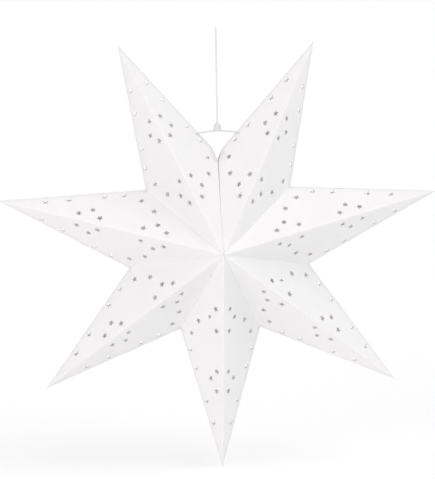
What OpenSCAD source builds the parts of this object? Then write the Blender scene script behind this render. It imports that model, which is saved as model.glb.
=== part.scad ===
// Paper star lantern: seven hollow points folded from card, glued side by side round an
// empty middle and hung by a wire bow, a small cap and a cord. The front faces -Y and the
// origin is the seat under the top of the cord's loop. Millimetres.

/* [Star] */
// Distance from the middle of the star to the tip of a point
tip_reach = 304; // [270:2:330]
// Distance from the middle of the star to a valley corner between two points
valley_reach = 125; // [115:1:135]
// Distance from the middle of the star to its front and to its back
half_depth = 100; // [85:1:115]
// Thickness of the card
card = 0.4; // [0.3:0.05:0.6]

/* [Cut-outs] */
// Reach of a cut-out star from its middle to its tips
hole_reach = 4.9; // [3.6:0.1:5.4]
// Reach of a cut-out star from its middle to its inner corners
hole_waist = 2.3; // [1.4:0.1:2.9]

/* [Joints] */
// Width of the flap that is glued under the next point
flap_width = 9; // [6:0.5:11]
// Length of valley that stays without a flap at each end
flap_end = 14; // [12:1:20]
// Width of the lap that closes a point along its back ridge
lap_width = 6; // [4:0.5:6.5]
// Length of back ridge that stays without a lap at each end
lap_end = 22; // [18:1:40]
// Thickness of the film of glue in a joint
glue_film = 0.05; // [0.02:0.01:0.1]
// Width of the pinhole where the seven points meet
pinhole = 1.5; // [1:0.1:3]

/* [Opening at the top] */
// Length that is cut off each fold at the top valley
notch_fold = 11; // [8:0.5:16]
// Length that is cut off each valley edge there
notch_valley = 13; // [8:0.5:18]
// Width of the open seam at its outer end
seam_gap = 1.6; // [0.6:0.1:2.4]

/* [Wire bow] */
// Thickness of the wire
wire = 1.8; // [1.2:0.1:2.2]
// Distance of the bow's holes from the valley corner, along the fold
bow_place = 40; // [35:0.5:44]
// Distance of the bow, with the cap and the cord, in front of the middle of the star
bow_forward = 4; // [3:0.5:6]
// Height of the bow above its holes
bow_rise = 3.5; // [2.5:0.1:6]
// Length of wire from a hole to its bend inside the point
bow_inside = 5; // [4:0.5:8]
// Radius of the bend, to the middle of the wire
bow_bend = 3; // [2.5:0.1:4]
// Length of the straight leg below the bend
bow_leg = 6; // [4:0.5:9]
// Clearance round the wire in its holes and in the cap
wire_fit = 0.3; // [0.2:0.05:0.4]

/* [Cap] */
// Width of the cap at its foot
cap_foot = 11; // [10:0.1:13]
// Width of the cap below its dome
cap_waist = 9.2; // [8.6:0.1:9.8]
// Height of the cap
cap_height = 12; // [11:0.1:13.5]
// Height of the cap's dome
cap_dome = 5.6; // [4.5:0.1:6.5]
// Thickness of the roof that the knot bears on
cap_roof = 2.2; // [1.6:0.1:3]
// Width of the hollow in the cap
cap_hollow = 6; // [5.6:0.1:6.4]
// Clearance round the cord and above the knot
cord_fit = 0.2; // [0.1:0.05:0.3]

/* [Cord] */
// Thickness of the cord
cord_width = 2.2; // [1.8:0.1:2.5]
// Width of the stopper knot inside the cap
knot_width = 5; // [4.4:0.1:5.4]
// Height of the stopper knot
knot_height = 4.6; // [3.8:0.1:5]
// Thickness of the thread that is wound round the foot of the loop
thread = 0.5; // [0.3:0.05:0.8]
// Number of turns of that thread
thread_turns = 14; // [8:1:20]

/* [Hidden] */

points = 7;
step = 360 / points;
// The seam between the two top points stays open, so the chain of points starts after it
last_point = 3;
first_point = 4;

// The small stars of one panel, as shares of the way from the front or back centre to the
// tip and to the valley corner
cut_out_places = [[0.191, 0.175], [0.299, 0.16], [0.186, 0.30], [0.108, 0.575],
                  [0.108, 0.74], [0.176, 0.77], [0.309, 0.635], [0.495, 0.15],
                  [0.48, 0.285], [0.588, 0.15], [0.554, 0.385], [0.715, 0.22]];
// Each star is turned a little further than the one before it
cut_out_turn = 26;

// The route of the cord, as [y, z] in the plane of its loop
cord_route = [[0, -129], [0, -125], [0, -120], [0, -115], [0, -110], [0, -105], [0, -100],
              [0, -95], [0, -90], [0, -85], [0, -80], [0, -75], [0, -70], [0, -65],
              [0, -60], [0, -54]];
loop_route = [[1.25, -47], [1.25, -44], [1.5, -38], [2, -33], [2.5, -28], [3.1, -23],
              [3.7, -18], [4.2, -13], [4.5, -8], [4.6, -3.5], [4.25, -1.74],
              [3.25, -0.25], [1.76, 0.75], [0, 1.1], [-1.76, 0.75], [-3.25, -0.25],
              [-4.25, -1.74], [-4.6, -3.5], [-4.5, -8], [-4.2, -13], [-3.7, -18],
              [-3.1, -23], [-2.5, -28], [-2, -33], [-1.5, -38], [-1.25, -44],
              [-1.25, -47]];

// One point stands with its tip up. Its four planes fall away from the tip by these slopes.
edge_slope = valley_reach * sin(step / 2) / (tip_reach - valley_reach * cos(step / 2));
ridge_slope = half_depth / tip_reach;
// Drop of the tip for each millimetre that the four planes move inward
tip_rate = sqrt(1 / pow(edge_slope, 2) + 1 / pow(ridge_slope, 2) + 1);

// The front left panel in its own frame: x along the ridge from the front centre, y towards
// the valley corner, z outward
front_centre = [0, -half_depth, 0];
valley_corner = [-valley_reach * sin(step / 2), 0, valley_reach * cos(step / 2)];
tip = [0, 0, tip_reach];
ridge = tip - front_centre;
panel_x = ridge / norm(ridge);
panel_z = unit(cross(ridge, valley_corner - front_centre));
panel_y = cross(panel_z, panel_x);
corner = [(valley_corner - front_centre) * panel_x, (valley_corner - front_centre) * panel_y];
ridge_length = norm(ridge);
valley_length = norm(corner);
valley_angle = atan2(corner.y, corner.x);

// Extra reach of the cutting shapes, so that none ends on the face that it cuts
over = 2;

// The bow goes into the front panels just beside their side folds. Its hole is found on
// the front left panel, then turned with the top right point; the bow is drawn as [x, z]
// about the middle of the star.
fold_way = unit(tip - valley_corner);
fold_across = unit(cross(fold_way, panel_z));
panel_hole = valley_corner + bow_place * fold_way - bow_forward / fold_across.y * fold_across;
bow_hole = [panel_hole.x * cos(step / 2) + panel_hole.z * sin(step / 2),
            panel_hole.z * cos(step / 2) - panel_hole.x * sin(step / 2)];
bow_radius = (pow(bow_hole.x, 2) + pow(bow_rise, 2)) / (2 * bow_rise);
bow_top = bow_hole.y + bow_rise;
bow_angle = asin(bow_hole.x / bow_radius) + bow_inside / bow_radius * 180 / PI;
bow_arc_steps = 14;
bow_bend_steps = 6;
wire_sides = 12;

// What hangs from the cord follows its lower end
cord_end = cord_route[0].y;
roof_z = cord_end + cord_fit;
cap_foot_z = roof_z + cap_roof - cap_height;
bow_z = cap_foot_z + wire / 2;
star_z = bow_z - bow_top;
cord_sides = 8;

function unit(v) = v / norm(v);

function reversed(list) = [for (i = [len(list) - 1:-1:0]) list[i]];

// Half of the bow: its arc, the bend inside the point and the leg
function on_bow(angle) = [bow_radius * sin(angle), bow_top - bow_radius * (1 - cos(angle))];
function bow_half() =
    let (end = on_bow(bow_angle),
         middle = end - bow_bend * [sin(bow_angle), cos(bow_angle)])
    concat([for (i = [1:bow_arc_steps]) on_bow(bow_angle * i / bow_arc_steps)],
           [for (i = [1:bow_bend_steps])
               let (a = bow_angle + (90 - bow_angle) * i / bow_bend_steps)
               middle + bow_bend * [sin(a), cos(a)]],
           [middle + [bow_bend, -bow_leg]]);
function bow_path() =
    concat([for (p = reversed(bow_half())) [-p.x, p.y]], [on_bow(0)], bow_half());

// Direction of a path at one of its points
function heading(path, i) = unit(path[min(i + 1, len(path) - 1)] - path[max(i - 1, 0)]);

// A round bar along a path in the plane of x and z
module bar(path, width, sides) {
    rings = [for (i = [0:len(path) - 1], k = [0:sides - 1])
        let (t = heading(path, i), a = 360 * k / sides, r = width / 2)
        [path[i].x - r * cos(a) * t.y, r * sin(a), path[i].y + r * cos(a) * t.x]];
    last = (len(path) - 1) * sides;
    skin = [for (i = [0:len(path) - 2], k = [0:sides - 1])
        let (a = i * sides + k, b = i * sides + (k + 1) % sides)
        each [[a, b, b + sides], [a, b + sides, a + sides]]];
    polyhedron(rings, concat(skin, [[for (k = [sides - 1:-1:0]) k]],
                             [[for (k = [0:sides - 1]) last + k]]));
}

// Four-sided solid spike, with its planes moved inward by an inset
module spike(inset) {
    h = tip_reach - inset * tip_rate;
    polyhedron([[0, 0, h], [0, -ridge_slope * h, 0], [edge_slope * h, 0, 0],
                [0, ridge_slope * h, 0], [-edge_slope * h, 0, 0]],
               [[0, 2, 1], [0, 3, 2], [0, 4, 3], [0, 1, 4], [1, 2, 3, 4]]);
}

// The sector that one point fills, out to an angle on its left and on its right
module sector(left, right) {
    reach = tip_reach + over;
    rotate([90, 0, 0])
        linear_extrude(height = 2 * (half_depth + over), center = true)
            polygon([[0, 0], [reach * tan(right), reach], [-reach * tan(left), reach]]);
}

module next_point() {
    rotate([0, -step, 0]) children();
}

module previous_point() {
    rotate([0, step, 0]) children();
}

// Places what is drawn on the front left panel
module on_panel() {
    multmatrix([[panel_x.x, panel_y.x, panel_z.x, front_centre.x],
                [panel_x.y, panel_y.y, panel_z.y, front_centre.y],
                [panel_x.z, panel_y.z, panel_z.z, front_centre.z],
                [0, 0, 0, 1]])
        children();
}

// A prism through a panel's card and what is glued under it
module through_panel(depth) {
    on_panel()
        translate([0, 0, -depth])
            linear_extrude(height = depth + over) children();
}

// The lap inside the back left panel, along the back ridge
module lap_zone() {
    mirror([0, 1, 0])
        through_panel(over)
            polygon([[lap_end, -over], [lap_end, 0], [lap_end + lap_width, lap_width],
                     [ridge_length - lap_end - 2 * lap_width, lap_width],
                     [ridge_length - lap_end, 0], [ridge_length - lap_end, -over]]);
}

// The flaps under the front and back panels of the next point
module flap_zone() {
    next_point()
        mirror([1, 0, 0])
            for (back = [0, 1])
                mirror([0, back, 0])
                    through_panel(3 * card + glue_film)
                        rotate(valley_angle)
                            polygon([[flap_end, over], [valley_length - flap_end, over],
                                     [valley_length - flap_end, 0],
                                     [valley_length - flap_end - flap_width, -flap_width],
                                     [flap_end + 2 * flap_width, -flap_width],
                                     [flap_end, 0]]);
}

// The folded card of one point, closed by the lap along its back ridge
module folded_card() {
    difference() {
        spike(0);
        difference() {
            spike(card);
            lap_zone();
        }
        spike(2 * card);
    }
}

module small_star() {
    polygon([for (i = [0:9])
        let (r = i % 2 == 0 ? hole_reach : hole_waist)
        r * [cos(36 * i), sin(36 * i)]]);
}

// The cut-outs of all four panels
module cut_outs() {
    for (right = [0, 1], back = [0, 1])
        mirror([right, 0, 0])
            mirror([0, back, 0])
                through_panel(3 * card)
                    for (i = [0:len(cut_out_places) - 1])
                        translate([cut_out_places[i][0] * ridge_length
                                   + cut_out_places[i][1] * corner.x,
                                   cut_out_places[i][1] * corner.y])
                            rotate(cut_out_turn * i)
                                small_star();
}

// The corners that are cut off the left panels where the lantern opens
module notch() {
    to_tip = unit([ridge_length, 0] - corner);
    to_centre = unit(-corner);
    a = corner + notch_fold * to_tip;
    b = corner + notch_valley * to_centre;
    along = unit(b - a);
    outward = [along.y, -along.x];
    for (back = [0, 1])
        mirror([0, back, 0])
            through_panel(4 * card)
                polygon([a - over * along, b + over * along,
                         b + over * along + notch_fold * outward,
                         a - over * along + notch_fold * outward]);
}

// One point, with its tip up: flap glues it to the next point, lapped trims it for the
// flap of the point before, and left and right are the angles that its card fills
module folded_point(flap, lapped, left, right) {
    difference() {
        union() {
            intersection() {
                folded_card();
                union() {
                    sector(left, right);
                    if (flap) flap_zone();
                }
            }
            if (flap)
                difference() {
                    intersection() {
                        next_point() spike(card + glue_film);
                        flap_zone();
                    }
                    spike(card);
                }
        }
        if (flap) next_point() spike(2 * card + glue_film);
        if (lapped) previous_point() spike(-glue_film);
        cut_outs();
        rotate([90, 0, 0]) cylinder(h = 2 * (half_depth + over), d = pinhole, center = true);
    }
}

module bow_wire(width) {
    bar(bow_path(), width, wire_sides);
}

// One point in its place round the star, counted from the lowest one
module placed_point(k) {
    whole = step / 2;
    narrow = whole - asin(seam_gap / 2 / valley_reach);
    at_start = k == first_point;
    at_end = k == last_point;
    color("white")
        translate([0, bow_forward, star_z])
            difference() {
                rotate([0, 180 - step * k, 0])
                    difference() {
                        folded_point(!at_end, !at_start, at_end ? narrow : whole,
                                     at_start ? narrow : whole);
                        if (at_end) notch();
                        if (at_start) mirror([1, 0, 0]) notch();
                    }
                if (at_start || at_end)
                    translate([0, -bow_forward, 0])
                        bow_wire(wire + 2 * wire_fit);
            }
}

module point_bottom() {
    placed_point(0);
}

module point_lower_right() {
    placed_point(1);
}

module point_upper_right() {
    placed_point(2);
}

module point_top_right() {
    placed_point(3);
}

module point_top_left() {
    placed_point(4);
}

module point_upper_left() {
    placed_point(5);
}

module point_lower_left() {
    placed_point(6);
}

module bow() {
    color("whitesmoke")
        translate([0, 0, star_z])
            bow_wire(wire);
}

// Bell-shaped cap: the knot bears on its roof and the wire snaps into its foot
module cap() {
    dome_steps = 8;
    dome_z = cap_height - cap_dome;
    color("gainsboro")
        difference() {
            translate([0, 0, cap_foot_z])
                rotate_extrude()
                    difference() {
                        polygon(concat(
                            [[0, 0], [cap_foot / 2, 0], [cap_foot / 2, wire / 2]],
                            [for (i = [0:dome_steps])
                                let (a = 90 * i / dome_steps)
                                [cap_waist / 2 * cos(a), dome_z + cap_dome * sin(a)]]));
                        translate([0, -over])
                            square([cap_hollow / 2, cap_height - cap_roof + over]);
                        square([cord_width / 2 + cord_fit, cap_height + over]);
                    }
            translate([0, 0, star_z])
                bow_wire(wire + 2 * wire_fit);
        }
}

// The knot at the lower end of the cord
module stopper_knot() {
    round_steps = 6;
    flat = cord_width / 2;
    bulge = knot_width / 2 - flat;
    color("white")
        translate([0, 0, cord_end - knot_height / 2])
            rotate_extrude()
                polygon(concat(
                    [[0, -knot_height / 2]],
                    [for (i = [-round_steps:round_steps])
                        let (a = 90 * i / round_steps)
                        [flat + bulge * cos(a), knot_height / 2 * sin(a)]],
                    [[0, knot_height / 2]]));
}

module cord() {
    color("white")
        rotate([0, 0, 90])
            bar(cord_route, cord_width, cord_sides);
}

module hanging_loop() {
    color("white")
        rotate([0, 0, 90])
            bar(loop_route, cord_width, cord_sides);
}

// Thread wound round the cord and the end of its loop
module loop_binding() {
    low = cord_route[len(cord_route) - 1].y;
    high = loop_route[0].y;
    apart = loop_route[0].x;
    turn = (high - low) / thread_turns;
    color("white")
        for (i = [0:thread_turns - 1])
            translate([0, 0, low + turn * i])
                linear_extrude(height = turn)
                    union() {
                        translate([0, -apart]) circle(d = cord_width + 2 * thread);
                        translate([0, apart]) circle(d = cord_width + 2 * thread);
                        square([cord_width + 2 * thread, 2 * apart], center = true);
                    }
}

point_bottom();
point_lower_right();
point_upper_right();
point_top_right();
point_top_left();
point_upper_left();
point_lower_left();
bow();
cap();
stopper_knot();
cord();
hanging_loop();
loop_binding();
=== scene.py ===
import math
import random

import bmesh
import bpy
from mathutils import Matrix, Vector, noise
from mathutils.geometry import delaunay_2d_cdt


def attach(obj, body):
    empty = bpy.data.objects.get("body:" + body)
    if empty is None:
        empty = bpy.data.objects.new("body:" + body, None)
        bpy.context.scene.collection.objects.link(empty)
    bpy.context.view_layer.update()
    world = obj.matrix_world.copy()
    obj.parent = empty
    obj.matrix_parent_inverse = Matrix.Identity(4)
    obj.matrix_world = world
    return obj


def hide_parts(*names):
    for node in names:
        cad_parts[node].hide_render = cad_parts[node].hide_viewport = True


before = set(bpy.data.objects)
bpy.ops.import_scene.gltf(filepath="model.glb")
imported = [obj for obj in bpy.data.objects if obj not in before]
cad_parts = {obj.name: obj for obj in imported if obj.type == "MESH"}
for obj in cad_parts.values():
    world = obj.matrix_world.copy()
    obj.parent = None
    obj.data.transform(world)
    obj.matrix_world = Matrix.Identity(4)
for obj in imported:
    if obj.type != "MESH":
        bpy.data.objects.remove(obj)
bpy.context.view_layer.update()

scene = bpy.context.scene
scene.view_settings.view_transform = "Standard"  # a white studio shot, no film curve
scene.cycles.max_bounces = 16
scene.cycles.diffuse_bounces = 10  # light has to get round inside the hollow points

# The middle of the star hangs this far under the hook
starMiddle = Vector((0, 0.004, -0.293943))

# Camera, a little left of the middle and above, looking slightly down

cameraSet = {
    "turn": 0.062,  # radians
    "lookDown": 0.127,
    "tilt": 0.0163,
    "distance": 4.387,
    "lens": 235.6,
    "shift": (-0.0031, -0.0042),
}


def addCamera(opts):
    ct, st = math.cos(opts["turn"]), math.sin(opts["turn"])
    cd, sd = math.cos(opts["lookDown"]), math.sin(opts["lookDown"])
    cr, sr = math.cos(opts["tilt"]), math.sin(opts["tilt"])
    right = Vector((cr * ct - sr * sd * st, -cr * st - sr * sd * ct, -sr * cd))
    ahead = Vector((cd * st, cd * ct, -sd))
    up = Vector((sr * ct + cr * sd * st, -sr * st + cr * sd * ct, cr * cd))
    data = bpy.data.cameras.new("camera")
    data.lens = opts["lens"]
    data.sensor_width = 36
    data.shift_x, data.shift_y = opts["shift"]
    data.clip_end = 200
    cam = bpy.data.objects.new("camera", data)
    turn = Matrix((right, up, -ahead)).transposed().to_4x4()
    cam.matrix_world = Matrix.Translation(starMiddle - ahead * opts["distance"]) @ turn
    scene.collection.objects.link(cam)
    scene.camera = cam


addCamera(cameraSet)
print("camera done")

# Materials


def newMaterial(name):
    mat = bpy.data.materials.new(name)
    mat.use_nodes = True
    nodes = mat.node_tree.nodes
    return mat, nodes, mat.node_tree.links, nodes["Principled BSDF"]


def addNode(nodes, kind, **values):
    node = nodes.new(kind)
    for key, value in values.items():
        if key in node.inputs:
            node.inputs[key].default_value = value
        else:
            setattr(node, key, value)
    return node


def addNoise(nodes, links, scale, detail, roughness, stretch=None):
    coords = addNode(nodes, "ShaderNodeTexCoord")
    tex = addNode(nodes, "ShaderNodeTexNoise", Scale=scale, Detail=detail, Roughness=roughness)
    if stretch:
        mapping = addNode(nodes, "ShaderNodeMapping", Scale=stretch)
        links.new(coords.outputs["Object"], mapping.inputs["Vector"])
        links.new(mapping.outputs["Vector"], tex.inputs["Vector"])
    else:
        links.new(coords.outputs["Object"], tex.inputs["Vector"])
    return tex


cardLook = {
    "white": (0.955, 0.953, 0.952, 1),
    "cloud": (0.94, 0.938, 0.937, 1),  # faint cloudiness of the pulp
    "ridgeHighlight": (0.985, 0.984, 0.983, 1),  # painted highlight along each ridge
    "edgePaintedShade": (0.80, 0.797, 0.796, 1),  # painted shade along the side folds and the notch edges
    "valleyPaintedLight": (0.99, 0.99, 0.99, 1),  # painted light that lifts the shade deep in a valley
    "roughness": 0.62,
    "shine": 0.3,
    "throughLight": 0.22,  # share of the light that passes the card
    "throughTone": (0.97, 0.968, 0.966, 1),
    "cloudScale": 14,
    "fibreScale": 900,
    "fibreStretch": (1, 1, 0.35),
    "fibreDepth": 0.00003,
    "toothScale": 2600,
    "toothDepth": 0.000015,
    "bump": 0.5,
}


def cardMaterial(opts):
    mat, nodes, links, shader = newMaterial("whiteCard")
    cloud = addNoise(nodes, links, opts["cloudScale"], 4, 0.6)
    clouding = addNode(nodes, "ShaderNodeMix", data_type="RGBA")
    clouding.inputs[6].default_value = opts["white"]
    clouding.inputs[7].default_value = opts["cloud"]
    links.new(cloud.outputs["Fac"], clouding.inputs["Factor"])
    tone = clouding.outputs[2]
    # each mark on the mesh is 1 on its own line and falls to 0 beside it
    # edge mark: painted shade along the side folds and the notch edges
    # ridge mark: a painted highlight along each ridge
    # valley mark: painted light over the shade in the valleys
    for mark, colour in (("valley", "valleyPaintedLight"), ("ridge", "ridgeHighlight"),
                         ("edge", "edgePaintedShade")):
        where = addNode(nodes, "ShaderNodeAttribute", attribute_name=mark)
        blend = addNode(nodes, "ShaderNodeMix", data_type="RGBA")
        blend.inputs[7].default_value = opts[colour]
        links.new(where.outputs["Fac"], blend.inputs["Factor"])
        links.new(tone, blend.inputs[6])
        tone = blend.outputs[2]
    links.new(tone, shader.inputs["Base Color"])
    shader.inputs["Roughness"].default_value = opts["roughness"]
    shader.inputs["Specular IOR Level"].default_value = opts["shine"]
    # long soft fibres under a finer tooth
    fibre = addNoise(nodes, links, opts["fibreScale"], 3, 0.65, opts["fibreStretch"])
    tooth = addNoise(nodes, links, opts["toothScale"], 2, 0.5)
    fibreBump = addNode(nodes, "ShaderNodeBump", Strength=opts["bump"],
                        Distance=opts["fibreDepth"])
    toothBump = addNode(nodes, "ShaderNodeBump", Strength=opts["bump"],
                        Distance=opts["toothDepth"])
    links.new(fibre.outputs["Fac"], fibreBump.inputs["Height"])
    links.new(tooth.outputs["Fac"], toothBump.inputs["Height"])
    links.new(fibreBump.outputs["Normal"], toothBump.inputs["Normal"])
    links.new(toothBump.outputs["Normal"], shader.inputs["Normal"])
    through = addNode(nodes, "ShaderNodeBsdfTranslucent", Color=opts["throughTone"])
    mix = addNode(nodes, "ShaderNodeMixShader", Fac=opts["throughLight"])
    links.new(shader.outputs["BSDF"], mix.inputs[1])
    links.new(through.outputs["BSDF"], mix.inputs[2])
    links.new(mix.outputs["Shader"], nodes["Material Output"].inputs["Surface"])
    return mat


cordLook = {
    "thread": (0.80, 0.797, 0.799, 1),
    "shade": (0.70, 0.697, 0.699, 1),
    "roughness": 0.85,
    "sheen": 0.25,
    "fuzzScale": 6000,
    "fuzzStretch": (1, 1, 0.25),
    "fuzzDepth": 0.00008,
    "bump": 0.6,
}


def cordMaterial(opts, name="whiteCord"):
    mat, nodes, links, shader = newMaterial(name)
    fuzz = addNoise(nodes, links, opts["fuzzScale"], 3, 0.6, opts["fuzzStretch"])
    tone = addNode(nodes, "ShaderNodeMix", data_type="RGBA")
    tone.inputs[6].default_value = opts["thread"]
    tone.inputs[7].default_value = opts["shade"]
    links.new(fuzz.outputs["Fac"], tone.inputs["Factor"])
    links.new(tone.outputs[2], shader.inputs["Base Color"])
    shader.inputs["Roughness"].default_value = opts["roughness"]
    shader.inputs["Sheen Weight"].default_value = opts["sheen"]
    bump = addNode(nodes, "ShaderNodeBump", Strength=opts["bump"], Distance=opts["fuzzDepth"])
    links.new(fuzz.outputs["Fac"], bump.inputs["Height"])
    links.new(bump.outputs["Normal"], shader.inputs["Normal"])
    return mat


wireLook = {
    "lacquer": (0.70, 0.692, 0.694, 1),
    "worn": (0.64, 0.632, 0.634, 1),
    "roughness": 0.4,
    "coat": 0.3,
    "grainScale": 700,
    "grainDepth": 0.00004,
    "bump": 0.3,
}


def wireMaterial(opts):
    mat, nodes, links, shader = newMaterial("whiteWire")
    grain = addNoise(nodes, links, opts["grainScale"], 2, 0.5)
    tone = addNode(nodes, "ShaderNodeMix", data_type="RGBA")
    tone.inputs[6].default_value = opts["lacquer"]
    tone.inputs[7].default_value = opts["worn"]
    links.new(grain.outputs["Fac"], tone.inputs["Factor"])
    links.new(tone.outputs[2], shader.inputs["Base Color"])
    shader.inputs["Roughness"].default_value = opts["roughness"]
    shader.inputs["Coat Weight"].default_value = opts["coat"]
    bump = addNode(nodes, "ShaderNodeBump", Strength=opts["bump"], Distance=opts["grainDepth"])
    links.new(grain.outputs["Fac"], bump.inputs["Height"])
    links.new(bump.outputs["Normal"], shader.inputs["Normal"])
    return mat


capLook = {
    "plastic": (0.66, 0.655, 0.656, 1),
    "cloud": (0.73, 0.725, 0.726, 1),
    "roughness": 0.42,
    "cloudScale": 260,
    "grainScale": 2200,
    "grainDepth": 0.00005,
    "bump": 0.25,
}


def capMaterial(opts):
    mat, nodes, links, shader = newMaterial("whiteCap")
    cloud = addNoise(nodes, links, opts["cloudScale"], 3, 0.5)
    tone = addNode(nodes, "ShaderNodeMix", data_type="RGBA")
    tone.inputs[6].default_value = opts["plastic"]
    tone.inputs[7].default_value = opts["cloud"]
    links.new(cloud.outputs["Fac"], tone.inputs["Factor"])
    links.new(tone.outputs[2], shader.inputs["Base Color"])
    shader.inputs["Roughness"].default_value = opts["roughness"]
    grain = addNoise(nodes, links, opts["grainScale"], 2, 0.5)
    bump = addNode(nodes, "ShaderNodeBump", Strength=opts["bump"], Distance=opts["grainDepth"])
    links.new(grain.outputs["Fac"], bump.inputs["Height"])
    links.new(bump.outputs["Normal"], shader.inputs["Normal"])
    return mat


whiteCard = cardMaterial(cardLook)
whiteCord = cordMaterial(cordLook)
threadLook = {
    **cordLook,
    "thread": (0.92, 0.917, 0.919, 1),
    "shade": (0.86, 0.857, 0.859, 1),
}
whiteThread = cordMaterial(threadLook, "whiteThread")
whiteWire = wireMaterial(wireLook)
whiteCap = capMaterial(capLook)
print("materials done")


def addMesh(name, verts, faces, mat, smoothAngle):
    mesh = bpy.data.meshes.new(name)
    mesh.from_pydata([tuple(v) for v in verts], [], faces)
    mesh.validate()
    mesh.materials.append(mat)
    mesh.shade_smooth()
    mesh.set_sharp_from_angle(angle=math.radians(smoothAngle))
    piece = bpy.data.objects.new(name, mesh)
    scene.collection.objects.link(piece)
    return piece


def onObject(piece, slotName, *nodes):
    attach(piece, "root")
    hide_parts(*nodes)


# Cord, three strands laid together, up from the knot and round through its loop

cordSet = {
    "width": 0.0022,
    "strands": 3,
    "layLength": 0.0082,  # one full turn of the strands
    "ringStep": 0.0005,
    "ringPoints": 24,
    "groove": 0.13,
    "grooveShape": 0.7,  # under 1 gives narrow grooves between round strands
    # y and z in millimetres, as the solids have them
    "rise": [(0, -129), (0, -125), (0, -120), (0, -115), (0, -110), (0, -105), (0, -100),
             (0, -95), (0, -90), (0, -85), (0, -80), (0, -75), (0, -70), (0, -65), (0, -60),
             (0.15, -56.5), (0.7, -53)],
    "loop": [(1.15, -49.5), (1.25, -47), (1.25, -44), (1.5, -38), (2, -33), (2.5, -28),
             (3.1, -23), (3.7, -18), (4.2, -13), (4.5, -8), (4.6, -3.5), (4.25, -1.74),
             (3.25, -0.25), (1.76, 0.75), (0, 1.1), (-1.76, 0.75), (-3.25, -0.25),
             (-4.25, -1.74), (-4.6, -3.5), (-4.5, -8), (-4.2, -13), (-3.7, -18),
             (-3.1, -23), (-2.5, -28), (-2, -33), (-1.5, -38), (-1.25, -44),
             (-1.25, -47), (-1.25, -52.5)],
}


# even points along a curve through the given ones
def smoothLine(points, step):
    fineSteps = 24
    ends = [2 * points[0] - points[1]] + list(points) + [2 * points[-1] - points[-2]]
    fine = []
    for i in range(1, len(ends) - 2):
        a, b, c, d = ends[i - 1:i + 3]
        for j in range(fineSteps):
            t = j / fineSteps
            fine.append(0.5 * ((2 * b) + (c - a) * t + (2 * a - 5 * b + 4 * c - d) * t * t
                               + (3 * b - a - 3 * c + d) * t ** 3))
    fine.append(points[-1])
    total = sum((fine[i + 1] - fine[i]).length for i in range(len(fine) - 1))
    count = max(2, round(total / step))
    even, walked, i = [fine[0]], 0.0, 0
    for n in range(1, count):
        want = total * n / count
        while walked + (fine[i + 1] - fine[i]).length < want:
            walked += (fine[i + 1] - fine[i]).length
            i += 1
        part = (want - walked) / (fine[i + 1] - fine[i]).length
        even.append(fine[i].lerp(fine[i + 1], part))
    even.append(fine[-1])
    return even, total


def laidRope(name, line, width, sides, opts, mat):
    verts, faces = [], []
    side = Vector((1, 0, 0))
    walked = 0.0
    for i, p in enumerate(line):
        ahead = (line[min(i + 1, len(line) - 1)] - line[max(i - 1, 0)]).normalized()
        side = (side - ahead * side.dot(ahead)).normalized()
        other = ahead.cross(side)
        if i:
            walked += (p - line[i - 1]).length
        twist = 2 * math.pi * walked / opts["layLength"]
        for k in range(sides):
            a = 2 * math.pi * k / sides
            lobe = abs(math.sin(opts["strands"] * (a - twist) / 2))
            r = width / 2 * (1 - opts["groove"] * (1 - lobe ** opts["grooveShape"]))
            verts.append(p + side * (r * math.cos(a)) + other * (r * math.sin(a)))
    rings = len(line)
    for i in range(rings - 1):
        for k in range(sides):
            a, b = i * sides + k, i * sides + (k + 1) % sides
            faces.append((a, b, b + sides, a + sides))
    faces.append(tuple(range(sides - 1, -1, -1)))
    faces.append(tuple((rings - 1) * sides + k for k in range(sides)))
    return addMesh(name, verts, faces, mat, 60)


def mm(x, y, z):
    return Vector((x, y, z)) / 1000


cordLine, cordLength = smoothLine(
    [mm(0, y, z) for y, z in cordSet["rise"] + cordSet["loop"]], cordSet["ringStep"])
hangingCord = laidRope("hangingCord", cordLine, cordSet["width"], cordSet["ringPoints"],
                       cordSet, whiteCord)
onObject(hangingCord, "cord", "cord", "hanging_loop")

bindingSet = {
    "low": -0.0539,
    "high": -0.0471,
    "turns": 13,
    "steps": 36,  # in one turn
    "thread": 0.00052,
    "apart": 0.00125,  # the two strands inside stand this far from the middle
    "reach": 0.00133,
}


def addRod(name, line, width, mat, resolution):
    data = bpy.data.curves.new(name, "CURVE")
    data.dimensions = "3D"
    data.bevel_depth = width / 2
    data.bevel_resolution = resolution
    data.use_fill_caps = True
    spline = data.splines.new("POLY")
    spline.points.add(len(line) - 1)
    for point, p in zip(spline.points, line):
        point.co = (*p, 1)
    data.materials.append(mat)
    rod = bpy.data.objects.new(name, data)
    scene.collection.objects.link(rod)
    return rod


def windingLine(opts):
    line = []
    steps = opts["steps"]
    straight, bend = 2 * opts["apart"], math.pi * opts["reach"]
    around = 2 * (straight + bend)
    for i in range(opts["turns"] * steps + 1):
        s = (i / steps % 1) * around
        z = opts["low"] + (opts["high"] - opts["low"]) * i / (opts["turns"] * steps)
        if s < straight:
            x, y = opts["reach"], -opts["apart"] + s
        elif s < straight + bend:
            a = (s - straight) / opts["reach"]
            x, y = opts["reach"] * math.cos(a), opts["apart"] + opts["reach"] * math.sin(a)
        elif s < 2 * straight + bend:
            x, y = -opts["reach"], opts["apart"] - (s - straight - bend)
        else:
            a = (s - 2 * straight - bend) / opts["reach"]
            x, y = -opts["reach"] * math.cos(a), -opts["apart"] - opts["reach"] * math.sin(a)
        line.append(Vector((x, y, z)))
    return line


threadWinding = addRod("threadWinding", windingLine(bindingSet), bindingSet["thread"],
                       whiteThread, resolution=2)
onObject(threadWinding, "cord", "loop_binding")

knotSet = {
    "top": -0.1291,
    "neck": 0.0004,
    "start": 0.0008,  # the turns begin this far under the top
    "low": -0.1325,
    "reach": 0.0014,
    "width": 0.0021,
    "turns": 2.0,
    "steps": 28,  # in one turn
    "ringStep": 0.0003,
    "ringPoints": 14,
}


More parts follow.
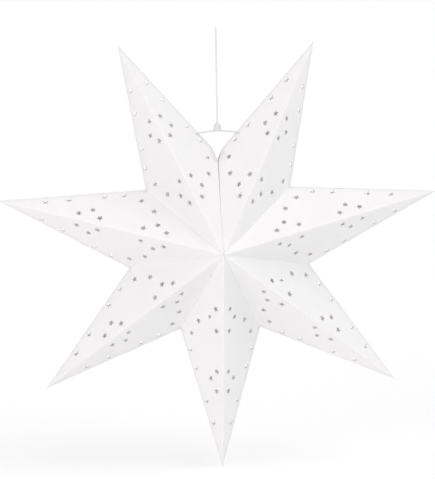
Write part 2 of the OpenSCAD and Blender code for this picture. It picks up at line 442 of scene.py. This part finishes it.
def knotLine(opts):
    line = [Vector((0, 0, opts["top"])), Vector((0, 0, opts["top"] - opts["neck"]))]
    steps = int(opts["turns"] * opts["steps"])
    for i in range(steps + 1):
        t = i / steps
        r = opts["reach"] * min(1, 5 * t, 6 * (1 - t) + 0.25)
        a = 2 * math.pi * opts["turns"] * t
        z = opts["top"] - opts["start"] + (opts["low"] - opts["top"] + opts["start"]) * t
        line.append(Vector((r * math.cos(a), r * math.sin(a), z)))
    return smoothLine(line, opts["ringStep"])[0]


endKnot = laidRope("endKnot", knotLine(knotSet), knotSet["width"], knotSet["ringPoints"],
                   cordSet, whiteCord)
onObject(endKnot, "cord", "stopper_knot")
print("cord done,", round(cordLength * 1000, 1), "mm long")

# Points of folded card

starSet = {
    "points": 7,
    "lastPoint": 3,  # the open seam is between these two
    "firstPoint": 4,
    "tipReach": 0.304,
    "valleyReach": 0.125,
    "halfDepth": 0.100,
    "card": 0.0004,
    "glueFilm": 0.00005,
    "holeReach": 0.0049,
    "holeWaist": 0.0023,
    "holePlaces": [(0.191, 0.175), (0.299, 0.16), (0.186, 0.30), (0.108, 0.575),
                   (0.108, 0.74), (0.176, 0.77), (0.309, 0.635), (0.495, 0.15),
                   (0.48, 0.285), (0.588, 0.15), (0.554, 0.385), (0.715, 0.22)],
    "holeTurn": 26,  # degrees from one small star to the next
    "pinhole": 0.0015,
    "flapWidth": 0.009,
    "flapEnd": 0.014,
    "lapWidth": 0.006,
    "lapEnd": 0.022,
    "notchFold": 0.011,
    "notchValley": 0.013,
    "seamGap": 0.0012,
    "seamCloses": 0.49,  # share of the way out where the two cards touch
    "seamShut": 0.0001,
    "edgeShy": 0.00003,  # a cut edge stops this short of the next card
    "foldRound": 0.00022,  # how much a fold is blunted
    "foldReach": 0.0006,
    "foldRows": (0.0006, 0.0015, 0.003),
    "buckle": 0.0014,  # how far a panel bellies in or out
    "buckleScale": 9.0,
    "calmReach": 0.03,  # the card lies flat this near to its folds
    "valleyMark": 0.007,  # width of each mark for the material, which paints light into the valleys, a highlight on the ridges and shade on the side folds and notch
    "ridgeMark": 0.0016,
    "edgeMark": 0.0012,
    "grid": 0.0075,
    "gridSeed": 7,
    "gridShake": 0.15,
    "gridFromHole": 0.0095,
    "gridFromEdge": 0.0035,
    "holeRing": 0.0064,
    "edgeStep": 0.006,
    "sharpFrom": 40,  # degrees
}

tipReach, valleyReach = starSet["tipReach"], starSet["valleyReach"]
halfStep = math.pi / starSet["points"]
frontMiddle = Vector((0, -starSet["halfDepth"], 0))
starTip = Vector((0, 0, tipReach))
leftCorner = Vector((-valleyReach * math.sin(halfStep), 0, valleyReach * math.cos(halfStep)))
alongRidge = (starTip - frontMiddle).normalized()
outOfPanel = (starTip - frontMiddle).cross(leftCorner - frontMiddle).normalized()
acrossPanel = outOfPanel.cross(alongRidge)
ridgeLength = (starTip - frontMiddle).length


# a point of the front left panel, in the panel's own two directions
def flat(p):
    d = p - frontMiddle
    return Vector((d.dot(alongRidge), d.dot(acrossPanel)))


# and back again, with a little height over the panel
def lifted(q, out):
    return frontMiddle + alongRidge * q.x + acrossPanel * q.y + outOfPanel * out


cornerFlat = flat(leftCorner)


def smallStar(index):
    a, b = starSet["holePlaces"][index]
    middle = Vector((a * ridgeLength + b * cornerFlat.x, b * cornerFlat.y))
    turn = math.radians(starSet["holeTurn"] * index)
    ring = []
    for i in range(10):
        r = starSet["holeReach"] if i % 2 == 0 else starSet["holeWaist"]
        ring.append(middle + Vector((r * math.cos(turn + math.pi * i / 5),
                                     r * math.sin(turn + math.pi * i / 5))))
    return middle, ring


def insideRing(p, ring):
    hit = False
    for i in range(len(ring)):
        a, b = ring[i], ring[i - 1]
        if (a.y > p.y) != (b.y > p.y):
            if p.x < (b.x - a.x) * (p.y - a.y) / (b.y - a.y) + a.x:
                hit = not hit
    return hit


def distanceTo(p, a, b):
    ab = b - a
    t = max(0, min(1, (p - a).dot(ab) / ab.length_squared))
    return (p - a - ab * t).length


def splitEdge(a, b, step):
    count = max(1, round((b - a).length / step))
    return [a.lerp(b, i / count) for i in range(count)]


def meetLines(a, b, c, d):
    ab, cd = b - a, d - c
    t = ((c.x - a.x) * cd.y - (c.y - a.y) * cd.x) / (ab.x * cd.y - ab.y * cd.x)
    return a + ab * t


# corners of a panel: its ridge, its side fold, and its valley or open seam
def panelOutline(openSide):
    start, tip2 = Vector((0, 0)), Vector((ridgeLength, 0))
    pin = starSet["pinhole"] / 2
    if not openSide:
        inward = Vector((cornerFlat.y, -cornerFlat.x)).normalized() * starSet["edgeShy"]
        corner = meetLines(start + inward, cornerFlat + inward, tip2, cornerFlat)
        return [(Vector((pin * 1.4, 0)), "ridge"), (tip2, "side"), (corner, "valley"),
                (cornerFlat.normalized() * pin * 1.4 + inward, "pin")]
    turn = halfStep - math.asin(starSet["seamGap"] / 2 / valleyReach)
    seamWay = Vector((-math.sin(turn), 0, math.cos(turn)))
    seamEnd = meetLines(Vector((0, 0)), Vector((seamWay.x, seamWay.z)), Vector((0, tipReach)),
                        Vector((leftCorner.x, leftCorner.z)))
    seamFlat = flat(Vector((seamEnd.x, 0, seamEnd.y)))
    cutA = cornerFlat + (tip2 - cornerFlat).normalized() * starSet["notchFold"]
    cutB = cornerFlat + (start - cornerFlat).normalized() * starSet["notchValley"]
    cutEnd = meetLines(cutA, cutB, start, seamFlat)
    inward = Vector((cornerFlat.y, -cornerFlat.x)).normalized() * starSet["seamShut"]
    return [(Vector((pin * 1.4, 0)), "ridge"), (tip2, "side"), (cutA, "notch"),
            (cutEnd, "seam"), (cornerFlat * starSet["seamCloses"] + inward, "seam"),
            (cornerFlat.normalized() * pin * 1.4 + inward, "pin")]


# Wire bow: its measures come first, because the panels have its holes

bowSet = {
    "wire": 0.0018,
    "place": 0.040,  # from the valley corner, along the fold
    "forward": 0.004,  # in front of the middle of the star
    "rise": 0.0035,
    "inside": 0.005,
    "bend": 0.003,
    "leg": 0.006,
    "legShy": 0.0002,
    "arcSteps": 30,
    "bendSteps": 12,
    "slack": 0.0003,  # air round the wire in its hole
}


# where the wire goes through a front panel, seen on the front left panel
def bowHole(opts):
    foldWay = (starTip - leftCorner).normalized()
    foldAcross = foldWay.cross(outOfPanel).normalized()
    return leftCorner + foldWay * opts["place"] - foldAcross * (opts["forward"] / foldAcross.y)


# the oval that the slanting wire needs in the panel
def wireOval(opts):
    hole = bowHole(opts)
    holeX = hole.x * math.cos(halfStep) + hole.z * math.sin(halfStep)
    slope = math.asin(holeX / ((holeX ** 2 + opts["rise"] ** 2) / (2 * opts["rise"])))
    way = Vector((math.cos(slope - halfStep), 0, math.sin(halfStep - slope)))
    narrow = opts["wire"] / 2 + opts["slack"]
    wide = narrow / abs(way.dot(outOfPanel))
    long = Vector((way.dot(alongRidge), way.dot(acrossPanel))).normalized()
    across = Vector((-long.y, long.x))
    middle = flat(hole)
    return [middle + long * (wide * math.cos(math.pi * i / 8))
            + across * (narrow * math.sin(math.pi * i / 8)) for i in range(16)]


wireHole = wireOval(bowSet)


# flat points, triangles and edge kinds of one panel
def panelMesh(openSide, wired):
    ring = panelOutline(openSide)
    outline, kinds = [], []
    for i, (corner, kind) in enumerate(ring):
        for p in splitEdge(corner, ring[(i + 1) % len(ring)][0], starSet["edgeStep"]):
            outline.append(p)
            kinds.append(kind)
    points = list(outline)
    edges = [(i, (i + 1) % len(outline)) for i in range(len(outline))]
    stars = [smallStar(i) for i in range(len(starSet["holePlaces"]))]
    for middle, star in stars:
        first = len(points)
        points += star
        edges += [(first + i, first + (i + 1) % 10) for i in range(10)]
        for i in range(12):  # a loose ring round each small star keeps the card calm there
            a = math.pi * i / 6
            points.append(middle + starSet["holeRing"] * Vector((math.cos(a), math.sin(a))))
    if wired:
        first = len(points)
        points += wireHole
        edges += [(first + i, first + (i + 1) % len(wireHole)) for i in range(len(wireHole))]
        stars.append((sum(wireHole, Vector((0, 0))) / len(wireHole), wireHole))
    corners = [c for c, _ in ring]
    tip2 = ring[1][0]
    sideEnd = ring[2][0]
    # rows beside the ridge and the side fold carry the rounding of the fold
    for a, b in ((corners[0], tip2), (tip2, sideEnd)):
        way = (b - a).normalized()
        inward = Vector((-way.y, way.x))
        for off in starSet["foldRows"]:
            for p in splitEdge(a, b, starSet["edgeStep"])[1:]:
                q = p + inward * off
                if insideRing(q, corners):
                    points.append(q)
    grid = starSet["grid"]
    shake = grid * starSet["gridShake"]
    rng = random.Random(starSet["gridSeed"])
    for i in range(int(ridgeLength / grid) + 1):
        for j in range(int(cornerFlat.y / grid) + 1):
            q = Vector((i * grid + rng.uniform(-1, 1) * shake + (j % 2) * grid / 2,
                        (j + 0.5) * grid + rng.uniform(-1, 1) * shake))
            if not insideRing(q, corners):
                continue
            if any((q - m).length < starSet["gridFromHole"] for m, _ in stars):
                continue
            if min(distanceTo(q, corners[n - 1], corners[n])
                   for n in range(len(corners))) < starSet["gridFromEdge"]:
                continue
            points.append(q)
    verts, _, faces, _, _, _ = delaunay_2d_cdt(points, edges, [], 0, 1e-7)
    kept = []
    for face in faces:
        middle = sum((verts[i] for i in face), Vector((0, 0))) / len(face)
        if not insideRing(middle, corners):
            continue
        if any(insideRing(middle, star) for _, star in stars):
            continue
        kept.append(tuple(face))
    return ring, verts, kept


def easeUp(t):
    t = max(0.0, min(1.0, t))
    return t * t * (3 - 2 * t)


# closed side, open side, and open side with the hole for the wire
panelKinds = [panelMesh(False, False), panelMesh(True, False), panelMesh(True, True)]


# a place on the front left panel, carried over to one of the other three
def mirrored(p, mirrorX, mirrorY):
    return Vector((-p.x if mirrorX else p.x, -p.y if mirrorY else p.y, p.z))


# one panel of a point, with the marks that tell the material where its folds are
def panelPart(index, openSide, mirrorX, mirrorY, verts, faces, marks):
    ring, flatVerts, flatFaces = panelKinds[(1 if mirrorY else 2) if openSide else 0]
    corners = [c for c, _ in ring]
    edgeList = [(corners[n], corners[(n + 1) % len(corners)], ring[n][1])
                for n in range(len(corners))]
    first = len(verts)
    shift = Vector((3.7 * index, 11.3 * mirrorX, 5.1 * mirrorY))
    reach = starSet["calmReach"]
    for q in flatVerts:
        near = {kind: distanceTo(q, a, b) for a, b, kind in edgeList}
        ridge, side = near["ridge"], near["side"]
        valley = near.get("valley", 1)
        notch = near.get("notch", 1)
        calm = min(easeUp(ridge / reach), easeUp(side / reach), easeUp(valley / reach))
        wave = noise.noise(Vector((q.x, q.y, 0)) * starSet["buckleScale"] + shift)
        out = starSet["buckle"] * wave * calm
        for d in (ridge, side):
            out -= starSet["foldRound"] * math.exp(-(d / starSet["foldReach"]) ** 1.3)
        verts.append(mirrored(lifted(q, out), mirrorX, mirrorY))
        # marks for painted light in the valleys, a painted highlight on the ridges and painted
        # shade on the side folds and notch
        marks.append((math.exp(-valley / starSet["valleyMark"]),
                      math.exp(-ridge / starSet["ridgeMark"]),
                      math.exp(-min(side, notch) / starSet["edgeMark"])))
    for face in flatFaces:
        face = tuple(first + i for i in face)
        faces.append(face[::-1] if mirrorX != mirrorY else face)


# the glued strips of one point: corners, turn, and the sides they are mirrored to
def gluedStrips(isLast):
    nextTurn = Matrix.Rotation(-2 * halfStep, 4, "Y")
    w = starSet["flapWidth"]
    valleyWay = cornerFlat.normalized()
    inward = Vector((valleyWay.y, -valleyWay.x))
    s1, s2 = starSet["flapEnd"], cornerFlat.length - starSet["flapEnd"]
    strips = []
    if not isLast:
        flap = [valleyWay * s1, valleyWay * s2, valleyWay * (s2 - w) + inward * w,
                valleyWay * (s1 + w) + inward * w]
        for mirrorY in (False, True):
            strips.append((flap, nextTurn, True, mirrorY))
    lapEnd, lapWidth = starSet["lapEnd"], starSet["lapWidth"]
    lap = [Vector((lapEnd, 0)), Vector((ridgeLength - lapEnd, 0)),
           Vector((ridgeLength - lapEnd - 2 * lapWidth, lapWidth)),
           Vector((lapEnd + lapWidth, lapWidth))]
    strips.append((lap, Matrix.Identity(4), False, True))
    return strips


# a strip lies under its panel, with the glue between them
def addStrip(bm, corners, place, mirrorX, mirrorY):
    under = -(starSet["card"] + starSet["glueFilm"])
    cuts = 24
    rows = []
    for a, b in ((corners[0], corners[1]), (corners[3], corners[2])):
        row = [a.lerp(b, i / cuts) for i in range(cuts + 1)]
        rows.append([bm.verts.new(place @ mirrored(lifted(q, under), mirrorX, mirrorY))
                     for q in row])
    out = place.to_3x3() @ mirrored(outOfPanel, mirrorX, mirrorY)
    for i in range(cuts):
        face = bm.faces.new((rows[0][i], rows[0][i + 1], rows[1][i + 1], rows[1][i]))
        face.normal_update()
        if face.normal.dot(out) < 0:
            face.normal_flip()


# one point: four panels round its tip, two flaps to the next point and the back lap
def buildPoint(name, index, node):
    isLast, isFirst = index == starSet["lastPoint"], index == starSet["firstPoint"]
    verts, faces, marks = [], [], []
    for mirrorX in (False, True):
        openSide = (isLast and not mirrorX) or (isFirst and mirrorX)
        for mirrorY in (False, True):
            panelPart(index, openSide, mirrorX, mirrorY, verts, faces, marks)
    mesh = bpy.data.meshes.new(name)
    mesh.from_pydata([tuple(v) for v in verts], [], faces)
    for which, key in enumerate(("valley", "ridge", "edge")):
        layer = mesh.attributes.new(key, "FLOAT", "POINT")
        layer.data.foreach_set("value", [m[which] for m in marks])
    bm = bmesh.new()
    bm.from_mesh(mesh)
    bmesh.ops.remove_doubles(bm, verts=bm.verts, dist=1e-6)
    bmesh.ops.recalc_face_normals(bm, faces=bm.faces)
    middle = Vector((0, 0, 0.15))  # inside the point: the card faces away from it
    outward = sum((f.normal.dot(f.calc_center_median() - middle) * f.calc_area()
                   for f in bm.faces), 0.0)
    if outward < 0:
        bmesh.ops.reverse_faces(bm, faces=bm.faces)
    for corners, place, mirrorX, mirrorY in gluedStrips(isLast):
        addStrip(bm, corners, place, mirrorX, mirrorY)
    turn = Matrix.Rotation(math.pi - 2 * halfStep * index, 4, "Y")
    bm.transform(Matrix.Translation(starMiddle) @ turn)
    bm.to_mesh(mesh)
    bm.free()
    mesh.materials.append(whiteCard)
    piece = bpy.data.objects.new(name, mesh)
    scene.collection.objects.link(piece)
    thick = piece.modifiers.new("cardThickness", "SOLIDIFY")
    thick.thickness = starSet["card"]
    thick.offset = -1
    bpy.context.view_layer.objects.active = piece
    with bpy.context.temp_override(object=piece, active_object=piece,
                                   selected_objects=[piece]):
        bpy.ops.object.modifier_apply(modifier=thick.name)
    piece.data.shade_smooth()
    piece.data.set_sharp_from_angle(angle=math.radians(starSet["sharpFrom"]))
    onObject(piece, "card", node)


pointNames = [("bottomPoint", "point_bottom"), ("lowerRightPoint", "point_lower_right"),
              ("upperRightPoint", "point_upper_right"), ("topRightPoint", "point_top_right"),
              ("topLeftPoint", "point_top_left"), ("upperLeftPoint", "point_upper_left"),
              ("lowerLeftPoint", "point_lower_left")]
for index, (name, node) in enumerate(pointNames):
    buildPoint(name, index, node)
print("seven points done")

# Wire bow between the two top points


def bowLine(opts):
    hole = bowHole(opts)
    holeX = hole.x * math.cos(halfStep) + hole.z * math.sin(halfStep)
    holeZ = hole.z * math.cos(halfStep) - hole.x * math.sin(halfStep)
    radius = (holeX ** 2 + opts["rise"] ** 2) / (2 * opts["rise"])
    top = holeZ + opts["rise"]
    last = math.asin(holeX / radius) + opts["inside"] / radius
    steps, bend, bendSteps = opts["arcSteps"], opts["bend"], opts["bendSteps"]
    half = [(radius * math.sin(last * i / steps),
             top - radius * (1 - math.cos(last * i / steps))) for i in range(steps + 1)]
    mx, mz = half[-1][0] - bend * math.sin(last), half[-1][1] - bend * math.cos(last)
    for i in range(1, bendSteps + 1):
        a = last + (math.pi / 2 - last) * i / bendSteps
        half.append((mx + bend * math.sin(a), mz + bend * math.cos(a)))
    half.append((mx + bend, mz - opts["leg"] + opts["legShy"]))
    whole = [(-x, z) for x, z in reversed(half[1:])] + half
    return [Vector((x, 0, starMiddle.z + z)) for x, z in whole]


wireBow = addRod("wireBow", bowLine(bowSet), bowSet["wire"], whiteWire, resolution=6)
onObject(wireBow, "wire", "bow")

# The cap keeps its solid and gets its plastic
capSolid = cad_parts["cap"]
for slotItem in capSolid.material_slots:
    slotItem.material = whiteCap
print("bow and cap done")

# Floor and light

studioSet = {
    "floor": -0.5985,
    "floorTone": (0.6, 0.599, 0.599, 1),
    "floorRoughness": 0.9,
    "floorShine": 0.1,
    "floorSize": 30,
    "floorCuts": 30,
    "world": 0.745,
    "left": {"way": (-0.8, -1, 0.4), "strength": 0.62, "spread": 40, "tone": (1, 0.91, 0.925)},
    "right": {"way": (0.6, -0.5, 1), "strength": 0.78, "spread": 50, "tone": (1, 0.985, 0.988)},
    "sweep": {"way": (0, 0, 1), "strength": 2.15, "spread": 5, "tone": (1, 1, 1)},
}


def addFloor(opts):
    mat, nodes, links, shader = newMaterial("paleFloor")
    shader.inputs["Base Color"].default_value = opts["floorTone"]
    shader.inputs["Roughness"].default_value = opts["floorRoughness"]
    shader.inputs["Specular IOR Level"].default_value = opts["floorShine"]
    bm = bmesh.new()
    bmesh.ops.create_grid(bm, x_segments=opts["floorCuts"], y_segments=opts["floorCuts"],
                          size=opts["floorSize"])
    mesh = bpy.data.meshes.new("floor")
    bm.to_mesh(mesh)
    bm.free()
    mesh.materials.append(mat)
    floor = bpy.data.objects.new("floor", mesh)
    floor.location = (0, 0, opts["floor"])
    scene.collection.objects.link(floor)
    return floor


def addSun(name, opts):
    data = bpy.data.lights.new(name, "SUN")
    data.energy = opts["strength"]
    data.angle = math.radians(opts["spread"])
    data.color = opts["tone"]
    lamp = bpy.data.objects.new(name, data)
    lamp.rotation_euler = Vector(opts["way"]).to_track_quat("Z", "Y").to_euler()
    scene.collection.objects.link(lamp)
    return lamp


paleFloor = addFloor(studioSet)
for side in ("left", "right"):
    addSun(side + "Light", studioSet[side])
# one more light whitens the floor and leaves the lantern alone
sweepLight = addSun("sweepLight", studioSet["sweep"])
floorOnly = bpy.data.collections.new("floorOnly")
floorOnly.objects.link(paleFloor)
sweepLight.light_linking.receiver_collection = floorOnly
sweepLight.light_linking.blocker_collection = floorOnly
world = bpy.data.worlds.new("paleRoom")
world.use_nodes = True
world.node_tree.nodes["Background"].inputs["Color"].default_value = (1, 1, 1, 1)
world.node_tree.nodes["Background"].inputs["Strength"].default_value = studioSet["world"]
scene.world = world
print("studio done")
